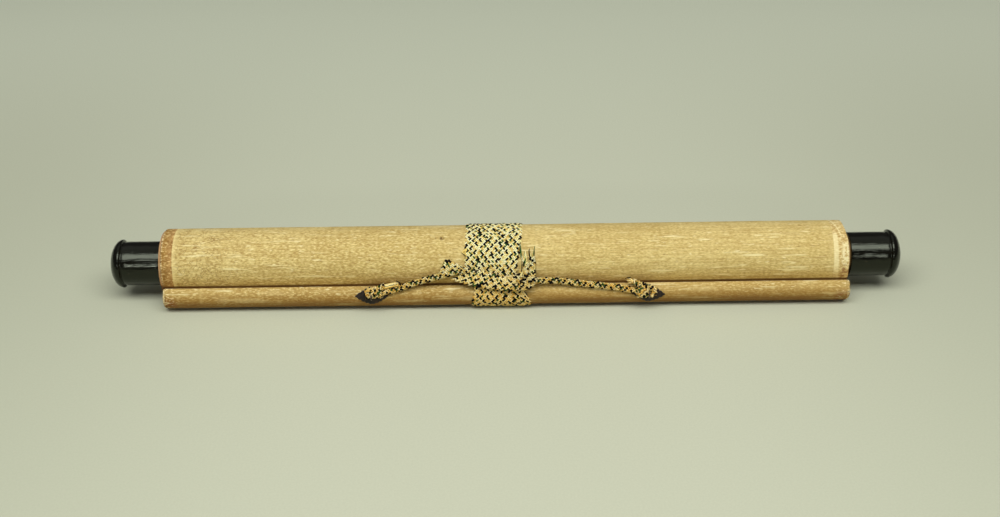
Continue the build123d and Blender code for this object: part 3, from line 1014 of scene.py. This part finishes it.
def braided(name, rings, us, vs, seed, height, round_body=False, closed=False):
    """A braided body. rings[i] is a closed ring of points; the first len(us) of them are its
    woven face, us counting strand steps across it, or all of them on a round body, whose last u
    is back at the first point. vs counts steps along; a closed body's last v is its first ring."""
    rows, ring = rings.shape[:2]
    faces = tube_faces(rows, ring, closed)
    woven = ring if round_body else len(us) - 1
    bare = (-9.0, -9.0)
    maps = []
    for start, stop in zip(vs, vs[1:]):
        for j in range(woven):
            maps += [(us[j], start), (us[j + 1], start), (us[j + 1], stop), (us[j], stop)]
        maps += [bare] * 4 * (ring - woven)
    maps += [bare] * (0 if closed else 2 * ring)
    made = plain_object(name, rings.reshape(-1, 3), faces, shaded_braid_core)
    made.data.uv_layers.new(name="weave").data.foreach_set("uv", np.array(maps, np.float32).ravel())
    if closed:
        steps = np.diff(vs)
        apart = (np.roll(steps, 1) + steps)[:, None, None]
        along = (np.roll(rings, -1, 0) - np.roll(rings, 1, 0)) / apart
    else:
        along = np.gradient(rings, axis=0) / np.gradient(vs)[:, None, None]
    across = np.zeros_like(rings)
    if round_body:
        across = (np.roll(rings, -1, 1) - np.roll(rings, 1, 1)) / (2 * (us[1] - us[0]))
    else:
        face = rings[:, : len(us)]
        across[:, : len(us)] = np.gradient(face, axis=1) / np.gradient(us)[None, :, None]
    for label, value in (("across", across), ("along", along)):
        attribute = made.data.attributes.new(label, "FLOAT_VECTOR", "POINT")
        attribute.data.foreach_set("vector", value.astype(np.float32).ravel())
    sizes = {
        "Across": float(us[-1]), "Along": float(vs[-1]), "Height": height,
        "Fullness": braid_fullness, "Seed": seed, "Finish": silk_strands,
    }
    return shaped(made, flat_braid, sizes)


def braided_cord(name, path, outs, half_width, half_thickness, seed):
    """A flat cord along a path: outs are the ways that its flat side faces."""
    run = np.gradient(path, axis=0)
    run /= np.linalg.norm(run, axis=1)[:, None]
    outs = outs - (outs * run).sum(1)[:, None] * run
    outs /= np.linalg.norm(outs, axis=1)[:, None]
    side = np.cross(run, outs)
    steps = 16
    turns = np.linspace(0, 2 * math.pi, steps, endpoint=False)
    widths = np.broadcast_to(half_width, len(path))[:, None, None]
    depths = np.broadcast_to(half_thickness, len(path))[:, None, None]
    rings = path[:, None] + side[:, None] * np.cos(turns)[None, :, None] * widths
    rings = rings + outs[:, None] * np.sin(turns)[None, :, None] * depths
    around = 2 * round(along_line(rings[len(path) // 2])[-1] / strand / 2)
    us = np.linspace(0, around, steps + 1)
    vs = along_line(path) / strand
    return braided(name, rings, us, vs, seed, cord_float_height, round_body=True)


ends = {}
for side, outwards in (("left", -1), ("right", 1)):
    ring = np.array(eye_ring[side])
    ends[side] = [ring + (outwards * knot_reach, 0, 0), ring - (outwards * knot_reach, 0, 0)]
route = ends["left"] + cord_route + ends["right"][::-1]
cord_path = spline_points([from_axis(point) for point in route])
cord_outs = np.array([way_out(point) for point in cord_path])
from_end = np.minimum(np.arange(len(cord_path)), np.arange(len(cord_path))[::-1])
slimming = np.clip(from_end / 14, 0.45, 1) * np.interp(cord_path[:, 0], [0.0, 0.05], [1, 1.12])
hanging_cord = braided_cord(
    "hanging_cord_braid", cord_path, cord_outs, cord_half_width * slimming, cord_half_thickness, 3
)


def thread_rule():
    """Turns polylines into round threads. Their attribute "thick" is each point's radius."""
    graph, given = new_rule("silk threads", {"Finish": "Material"})
    line = graph.node("GeometryNodeMeshToCurve", {}, {"Mesh": given})
    thick = graph.node("GeometryNodeInputNamedAttribute", {"data_type": "FLOAT"}, {"Name": "thick"})
    ring = graph.node("GeometryNodeCurvePrimitiveCircle", {}, {"Resolution": 5, "Radius": 1.0})
    inputs = {"Curve": line, "Profile Curve": ring, "Scale": thick, "Fill Caps": True}
    tube = graph.node("GeometryNodeCurveToMesh", {}, inputs)
    tube = graph.node("GeometryNodeSetShadeSmooth", {}, {"Geometry": tube})
    tube = graph.node("GeometryNodeSetMaterial", {}, {"Geometry": tube, "Material": given.of("Finish")})
    graph.node("NodeGroupOutput", {}, {0: tube})
    return graph


silk_thread = thread_rule()


def threads(name, routes):
    """Silk threads: each route holds its places (X, up, height) in millimetres, its radius in
    metres and its colour."""
    vertices, edges, thick, tone = [], [], [], []
    for places, radius, colour in routes:
        first = len(vertices)
        line = spline_points(laid(places), 4)
        last = len(line) - 1
        vertices += [tuple(point) for point in line]
        edges += [(first + k, first + k + 1) for k in range(last)]
        thick += [radius * (1 - 0.6 * (k / last) ** 3) for k in range(len(line))]
        tone += [(strand_order.index(colour) + 0.5) / strands] * len(line)
    mesh = bpy.data.meshes.new(name)
    mesh.from_pydata(vertices, edges, [])
    for label, values in (("thick", thick), ("tone", tone), ("shade", [0.8] * len(vertices))):
        mesh.attributes.new(label, "FLOAT", "POINT").data.foreach_set("value", values)
    return shaped(placed(name, mesh), silk_thread, {"Finish": silk_strands})


def fray(places, count, spread, radius, colours, seed):
    """Routes of loose threads that follow places (X, up, height) and spread apart."""
    chance = np.random.default_rng(seed)
    routes = []
    for k in range(count):
        side, rise = chance.uniform(-1, 1), chance.uniform(0, 1)
        curl = chance.normal(0, 0.25, (len(places), 2))
        reach = chance.uniform(0.5, 1)
        line = []
        for i, (x, s, height) in enumerate(places):
            part = i / (len(places) - 1)
            wide = spread[0] + (spread[1] - spread[0]) * part
            line.append((x + side * wide + curl[i, 0] * part, s + curl[i, 1] * part, height + rise * 0.7))
        line = np.array(line)
        if abs(line[-1, 1] - line[0, 1]) > 3:
            line = line[0] + (line - line[0]) * [1, reach, 1]
        routes.append((line, radius, colours[k % len(colours)]))
    return routes


def knot_cord(name, points, half_width, half_thickness, seed):
    """A short length of flat cord along places (X, up, height)."""
    path = spline_points(laid(points), 5)
    outs = np.array([way_out(point) for point in path])
    return braided_cord(name, path, outs, half_width, half_thickness, seed)


# the loop through each eye, the strip wrapped round its neck, and the short tail above, in places
# (X, up, height) in millimetres
loop_routes = {
    "left": [(-78.0, -5.4, 2.2), (-82.6, -5.0, 2.8), (-85.8, -5.0, 3.4), (-86.6, -6.8, 3.4),
             (-85.4, -8.6, 2.8), (-82.6, -8.2, 2.4), (-78.0, -7.0, 2.0)],
    "right": [(84.0, -6.6, 2.2), (88.6, -5.8, 2.8), (91.6, -5.8, 3.4), (92.6, -7.8, 3.4),
              (91.4, -10.0, 2.8), (88.6, -9.8, 2.4), (84.0, -8.6, 2.0)],
}
tail_routes = {
    "left": [(-81.5, -5.0, 3.4), (-78.6, -3.2, 3.2), (-75.5, -2.4, 2.4)],
    "right": [(87.2, -5.0, 3.0), (84.0, -3.8, 2.7), (81.2, -2.6, 2.4), (79.4, -1.6, 2.2)],
}
# where the wrapped strip starts and stops along X, and how far up its middle is
wrap_places = {"left": (-83.4, -77.6, -6.7), "right": (87.6, 82.4, -8.2)}
wrap_turns = 3
wrap_height = 2.4
wrap_half_height = 2.5
wrap_half_depth = 1.6


def wrapped_strip(side):
    """The narrow strip wound three times round the neck of a knot."""
    start, stop, middle = wrap_places[side]
    steps = 14
    helix, core = [], []
    for k in range(wrap_turns * steps + 1):
        turn = 2 * math.pi * k / steps
        x = start + (stop - start) * k / (wrap_turns * steps)
        up, out = wrap_half_height * math.cos(turn), wrap_half_depth * math.sin(turn)
        helix.append((x, middle + up, wrap_height + out))
        core.append((x, middle, wrap_height))
    path = laid(helix)
    return braided_cord(f"wraps_{side}", path, path - laid(core), 0.0009, 0.0004, 2)


def left_threads():
    """The left tail's end: threads side by side, and two curled over them."""
    beside = [("cream", 0.9), ("pale", 0.3), ("black", -0.3), ("cream", -0.8), ("ochre", -1.4), ("pale", 0.0)]
    run = [(-77.6, -3.0, 2.9), (-74.0, -2.2, 2.6), (-70.0, -1.5, 2.2), (-67.0, -0.9, 1.9)]
    routes = [([(x, s + up, height) for x, s, height in run], 0.0003, colour) for colour, up in beside]
    return routes + [
        ([(-68.4, 0.6, 2.2), (-66.8, 0.1, 2.3), (-65.6, -1.4, 2.2), (-65.2, -3.2, 1.8)], 0.0004, "black"),
        ([(-69.4, -1.6, 2.4), (-68.0, -2.6, 2.4), (-66.8, -2.0, 2.4), (-67.6, -1.0, 2.4)], 0.0004, "tan"),
    ]


def right_threads():
    """The right tail's end: a fan of threads in pairs, and a black one at each side."""
    fan = [(76.9, 1.1), (76.0, 0.6), (75.6, -0.2), (75.2, -1.0), (75.5, -1.9), (76.2, -2.7), (77.4, -3.5)]
    routes = []
    for k, (x, s) in enumerate(fan):
        for n, colour in enumerate((("tan", "black"), ("pale", "ochre"))[k % 2]):
            bend = (78.8 + 0.2 * n, -1.3 + (s + 1.3) * 0.4, 2.2 - 0.2 * n)
            end = (x + 0.4 * n, s + 0.35 * n - 0.2, 1.5)
            routes.append(([(80.6, -2.2, 2.3), bend, end], 0.0002, colour))
    return routes + [
        ([(77.6, 0.6, 1.9), (75.6, 0.9, 1.5), (74.2, -0.2, 1.3)], 0.0003, "black"),
        ([(79.6, -3.0, 1.9), (77.6, -3.9, 1.6), (76.0, -3.5, 1.3)], 0.0003, "black"),
    ]


for side, routes in (("left", left_threads()), ("right", right_threads())):
    parts = [
        knot_cord(f"loop_{side}", loop_routes[side], 0.0011, 0.0007, 10),
        wrapped_strip(side),
        knot_cord(f"tail_{side}", tail_routes[side], 0.0012, 0.0006, 17),
        threads(f"loose_{side}", routes),
    ]
    knot = joined(f"cord_knot_{side}", parts)
    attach(knot, "root")

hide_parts("hanging_cord")
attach(hanging_cord, "root")


# The tie ribbon: a flat silk braid nine millimetres wide, wound four times round roll and stave.
# Its run over the cord crosses the turns in front, with a bight tucked beside it and a knot at
# the right, whose two ends are frayed.

ribbon_across = 14
ribbon_body = 0.00085
ribbon_gap = 0.00005
ribbon_edge_drop = 0.00045
ribbon_overlap = 0.0001
ribbon_turns = 4
ribbon_us = np.linspace(0, ribbon_across, ribbon_across + 1)
ribbon_shares = ribbon_us / ribbon_across
# where the band's two sides lie: how far along the outline from the middle of the front span,
# then the left and the right side, in millimetres
band_sides = [
    (-27.0, -21.0, 15.0), (-15.4, -21.0, 15.1), (-12.9, -20.9, 14.7), (-10.3, -20.3, 13.1),
    (-7.8, -19.7, 11.6), (-5.9, -19.3, 10.2), (-3.0, -20.4, 8.0), (0.0, -22.4, 6.8),
    (4.0, -24.4, 6.4), (12.0, -25.4, 7.4), (22.0, -25.0, 9.4), (34.0, -24.4, 10.4),
    (60.0, -24.6, 10.4), (95.0, -24.6, 10.2), (115.0, -22.0, 12.8),
]


def band_side(s, column):
    """Where a side of the band lies, smoothly between its given places."""
    places = [row[0] for row in band_sides]
    values = [row[column] for row in band_sides]
    period = outline_length * 1000
    s = (s - places[0]) % period + places[0]
    return float(np.interp(s, places + [places[0] + period], values + [values[0]])) / 1000


def ribbon_ring(xs, ups, top):
    """The ribbon's closed section at places across it, its woven face so high over the outline
    and rounded down to its edges."""
    upper, lower = [], []
    for x, up, share in zip(xs, ups, ribbon_shares):
        fall = ribbon_edge_drop * abs(share * 2 - 1) ** 6
        high, out = wrap(up, top - fall)
        low, out = wrap(up, top - ribbon_body)
        upper.append((x, high[0], high[1]))
        lower.append((x, low[0], low[1]))
    return upper + lower[::-1]


def ribbon_turn(number):
    """One turn of the ribbon round roll and stave, pressed flat where the scroll rests on it."""
    rows = 168
    rings = []
    for i in range(rows):
        s = outline_length * i / rows - span / 2 - stave_arc
        near, far = band_side(s * 1000, 1), band_side(s * 1000, 2)
        width = (far - near) / ribbon_turns
        left = near + width * number - ribbon_overlap
        xs = left + (width + 2 * ribbon_overlap) * ribbon_us / ribbon_across
        rings.append(ribbon_ring(xs, [s] * len(xs), ribbon_gap + ribbon_body))
    vs = np.linspace(0, 4 * round(outline_length / strand / 4), rows + 1)
    name = f"ribbon_turn_{number + 1}"
    made = braided(name, np.array(rings), ribbon_us, vs, number * 3, ribbon_float_height, closed=True)
    pressed = np.array([vertex.co for vertex in made.data.vertices])
    pressed[:, 2] = np.maximum(pressed[:, 2], 0)
    made.data.vertices.foreach_set("co", pressed.ravel())
    return made


def evenly(points, rows):
    """So many places at even steps along the spline through points (X, up)."""
    places = spline_points([(x, up, 0) for x, up in points], 8)[:, :2]
    lengths = along_line(places)
    at = np.linspace(0, lengths[-1], rows)
    return np.stack([np.interp(at, lengths, places[:, k]) for k in (0, 1)], 1)


def ribbon_patch(name, first_side, second_side, heights, seed, rows=30):
    """A piece of ribbon lying on the front. Its sides are lists of (X, up) in millimetres, from
    the middle of the front span, and heights are those of its upper face along the way."""
    first, second = evenly(first_side, rows), evenly(second_side, rows)
    tops = np.interp(np.linspace(0, 1, rows), np.linspace(0, 1, len(heights)), heights)
    rings = []
    for near, far, top in zip(first, second, tops):
        places = (np.outer(1 - ribbon_shares, near) + np.outer(ribbon_shares, far)) / 1000
        rings.append(ribbon_ring(places[:, 0], places[:, 1], top / 1000))
    rings = np.array(rings)
    vs = along_line(rings[:, len(ribbon_us) // 2]) / strand
    return braided(name, rings, ribbon_us, vs, seed, ribbon_float_height)


turns = [ribbon_turn(number) for number in range(ribbon_turns)]
crossing = ribbon_patch(
    "ribbon_crossing",
    [(-27.0, 5.8), (-17.1, 7.5), (-8.4, 4.6), (2.5, 1.4), (10.4, 0.6), (15.5, 1.6)],
    [(-33.6, 0.8), (-27.7, -0.6), (-20.2, -3.0), (-9.6, -4.7), (2.8, -6.5), (11.5, -6.2),
     (17.0, -2.0)],
    [2.4, 3.6, 4.1, 4.2, 4.2, 4.1, 3.7], 4,
)
turn_back = ribbon_patch(
    "ribbon_turn_back",
    [(-27.0, 5.8), (-24.0, 5.4), (-20.0, 5.0)],
    [(-33.6, 0.8), (-28.5, -0.2), (-22.0, -1.2)],
    [1.6, 1.8, 2.2], 8, rows=12,
)
bight = ribbon_patch(
    "ribbon_bight",
    [(-38.6, 11.6), (-37.4, 13.2), (-35.4, 13.0), (-30.8, 10.6), (-25.8, 8.9), (-19.6, 7.2)],
    [(-41.0, 5.0), (-38.6, 3.0), (-33.4, 3.7), (-28.6, 6.2), (-22.7, 5.6), (-19.6, 5.0)],
    [1.5, 1.9, 1.9, 1.7], 6, rows=24,
)

# the knot: the ribbon gathers to a narrow strip, turns round the runs under it and ends in two
# frayed tails
knot_strips = [
    ([(5.0, -3.6, 4.2), (10.5, -4.2, 4.6), (14.2, -3.2, 4.4), (17.2, -0.8, 3.4)],
     0.0015, 0.0008, 21),
    ([(8.0, -1.8, 3.9), (7.9, 2.0, 4.4), (9.2, 4.4, 4.6), (11.8, 4.2, 4.7), (13.2, 2.0, 4.6)],
     0.0012, 0.0006, 22),
    ([(9.6, -2.2, 4.2), (12.6, -1.2, 5.0), (15.0, 1.2, 5.0), (16.4, 3.6, 3.8), (16.6, 6.0, 2.2)],
     0.0014, 0.0007, 23),
    ([(11.6, 5.4, 3.4), (13.0, 3.2, 4.9), (15.2, 0.8, 5.2), (18.6, -0.4, 3.4)],
     0.0013, 0.0007, 24),
    ([(12.6, 2.8, 3.2), (12.7, 6.2, 2.2), (12.7, 9.4, 1.6), (12.5, 11.6, 1.4)],
     0.0012, 0.0005, 25),
    ([(16.5, 3.4, 3.0), (16.4, 6.6, 2.0), (16.7, 10.0, 1.5), (16.5, 13.8, 1.3)],
     0.0012, 0.0005, 26),
]
knot_parts = [
    knot_cord(f"strip_{k}", places, half_width, half_thickness, seed)
    for k, (places, half_width, half_thickness, seed) in enumerate(knot_strips)
]
long_tail = [(12.5, 10.2, 1.4), (12.2, 13.0, 1.4), (11.6, 15.4, 1.2), (11.0, 17.8, 1.1)]
near_knot = [(10.0, 3.6, 3.2), (9.4, 7.0, 2.0), (9.6, 10.5, 1.6), (10.4, 13.5, 1.4)]
short_tail = [(16.4, 13.0, 1.3), (16.2, 15.0, 1.2), (16.0, 17.0, 1.1)]
loose = fray(long_tail, 16, (1.0, 1.5), 0.0002, ("pale", "tan", "cream", "pale", "green"), 31)
loose += fray(near_knot, 5, (1.0, 0.8), 0.00018, ("tan", "black", "ochre"), 32)
loose += fray(short_tail, 8, (1.0, 1.3), 0.00018, ("cream", "ochre", "black"), 33)
loose += [
    ([(9.5, 14.0, 1.9), (9.7, 17.0, 1.8), (9.2, 20.0, 1.6), (9.1, 22.2, 1.4)], 0.0004, "green"),
    ([(9.0, 16.5, 1.9), (8.9, 19.0, 1.8), (9.0, 22.8, 1.4)], 0.0003, "black"),
    ([(11.6, 9.5, 2.2), (11.8, 11.5, 2.1), (12.6, 13.6, 1.9)], 0.0005, "green"),
    ([(11.4, 9.8, 2.3), (11.5, 12.0, 2.2)], 0.00045, "black"),
    ([(15.4, 12.8, 1.8), (14.8, 15.4, 1.7), (14.5, 18.0, 1.4), (15.0, 19.2, 1.2)], 0.0004, "black"),
    ([(16.9, 12.6, 1.7), (17.4, 16.0, 1.5), (18.2, 20.8, 1.2)], 0.0003, "green"),
    ([(17.2, 11.8, 1.8), (17.7, 15.0, 1.5), (18.0, 18.0, 1.3)], 0.00025, "black"),
]
# a strand pulled out of the band's left side
loose += [
    ([(-24.0, 19.6, 1.2), (-25.6, 18.7, 1.3), (-27.0, 17.5, 1.1), (-25.8, 16.5, 1.3),
      (-24.0, 15.6, 1.2)], 0.0004, "tan"),
    ([(-24.0, 18.8, 1.1), (-26.6, 17.3, 1.0), (-24.0, 15.8, 1.1)], 0.00045, "tan"),
    ([(-24.6, 17.8, 1.2), (-26.0, 17.2, 1.2), (-24.6, 16.6, 1.2)], 0.0005, "ochre"),
    ([(-27.0, 17.2, 1.0), (-26.0, 16.0, 1.1), (-24.4, 14.8, 1.4)], 0.00028, "black"),
]
# the light strand along the lower band's right side
loose.append(([(10.4, -7.0, 1.8), (12.2, -9.4, 1.6), (14.2, -12.2, 1.5)], 0.0004, "pale"))
knot_parts.append(threads("loose_ribbon", loose))
ribbon_knot = joined("ribbon_knot", knot_parts)
pieces = turns + [crossing, turn_back, bight, ribbon_knot]
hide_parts("tie_ribbon")
for piece in pieces:
    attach(piece, "root")


# The picture's surroundings: a pale table, plain but for painted light that makes it lighter far off and
# darker at its near sides, a wide soft light overhead and a larger weak one straight above, a low weak one at
# each side in front, and the camera, looking down at the front.


def table_finish():
    material, graph = new_finish("pale table")
    place = graph.object_place()
    away = graph.part(place, "Y")
    sideways = graph.maths("ABSOLUTE", away.of("X"))
    aside = graph.rise(sideways, 0.08, 0.4) * graph.rise(away, 0.5, 0.0)
    grain = graph.noise(place, 800, 3.0)
    # painted light: the table lighter away from the camera and darker at its near sides
    colour = graph.layered(
        srgb(194, 197, 172),
        (graph.rise(away, 0.0, 0.6), srgb(213, 219, 194)),
        (aside * 0.9, srgb(180, 184, 159)),
        (graph.rise(grain, 0.3, 0.7) * 0.12, srgb(160, 164, 138)),
    )
    close_finish(graph, {"Base Color": colour, "Roughness": 0.9})
    return material


table_top = -0.00002
table_corners = [(x, y, table_top) for x, y in ((-3, -3), (3, -3), (3, 3), (-3, 3))]
table = plain_object("table", table_corners, [(0, 1, 2, 3)], table_finish())

elevation = math.radians(31.0)
image_roll = math.radians(0.765)
camera_distance = 0.85
focal_pixels = 1331.2
image_width = 1000
aim = Vector((-0.0035, axis[0], axis[1]))
backwards = Vector((0, -math.cos(elevation), math.sin(elevation)))
up = Vector((0, math.sin(elevation), math.cos(elevation)))
right = Vector((1, 0, 0))
picture_up = up * math.cos(image_roll) + right * math.sin(image_roll)
picture_right = right * math.cos(image_roll) - up * math.sin(image_roll)
camera_data = bpy.data.cameras.new("camera")
camera_data.lens = camera_data.sensor_width * focal_pixels / image_width
camera = placed("camera", camera_data)
picture_axes = Matrix((picture_right, picture_up, backwards)).transposed().to_4x4()
camera.matrix_world = Matrix.Translation(aim + backwards * camera_distance) @ picture_axes
bpy.context.scene.camera = camera


def soft_light(name, height_angle, distance, size, power, aside=0):
    """A rectangular light turned to the scroll, so many degrees up from the table in front."""
    data = bpy.data.lights.new(name, "AREA")
    data.shape = "RECTANGLE"
    data.size, data.size_y = size
    data.energy = power
    lamp = placed(name, data)
    angle = math.radians(height_angle)
    lamp.location = (aside, -distance * math.cos(angle), distance * math.sin(angle))
    lamp.rotation_euler = (math.radians(90) - angle, 0, 0)


soft_light("overhead", 65, 1.4, (2.2, 0.68), 24)
soft_light("above", 95, 1.6, (3.2, 2.4), 7)
soft_light("low_left", 20, 1.6, (0.36, 0.09), 1.6, -0.7)
soft_light("low_right", 20, 1.6, (0.36, 0.09), 1.6, 0.7)
world = bpy.data.worlds.new("room")
world.use_nodes = True
background = world.node_tree.nodes["Background"]
background.inputs["Color"].default_value = (1, 1, 1, 1)
background.inputs["Strength"].default_value = 0.065
bpy.context.scene.world = world
bpy.context.scene.view_settings.view_transform = "Standard"
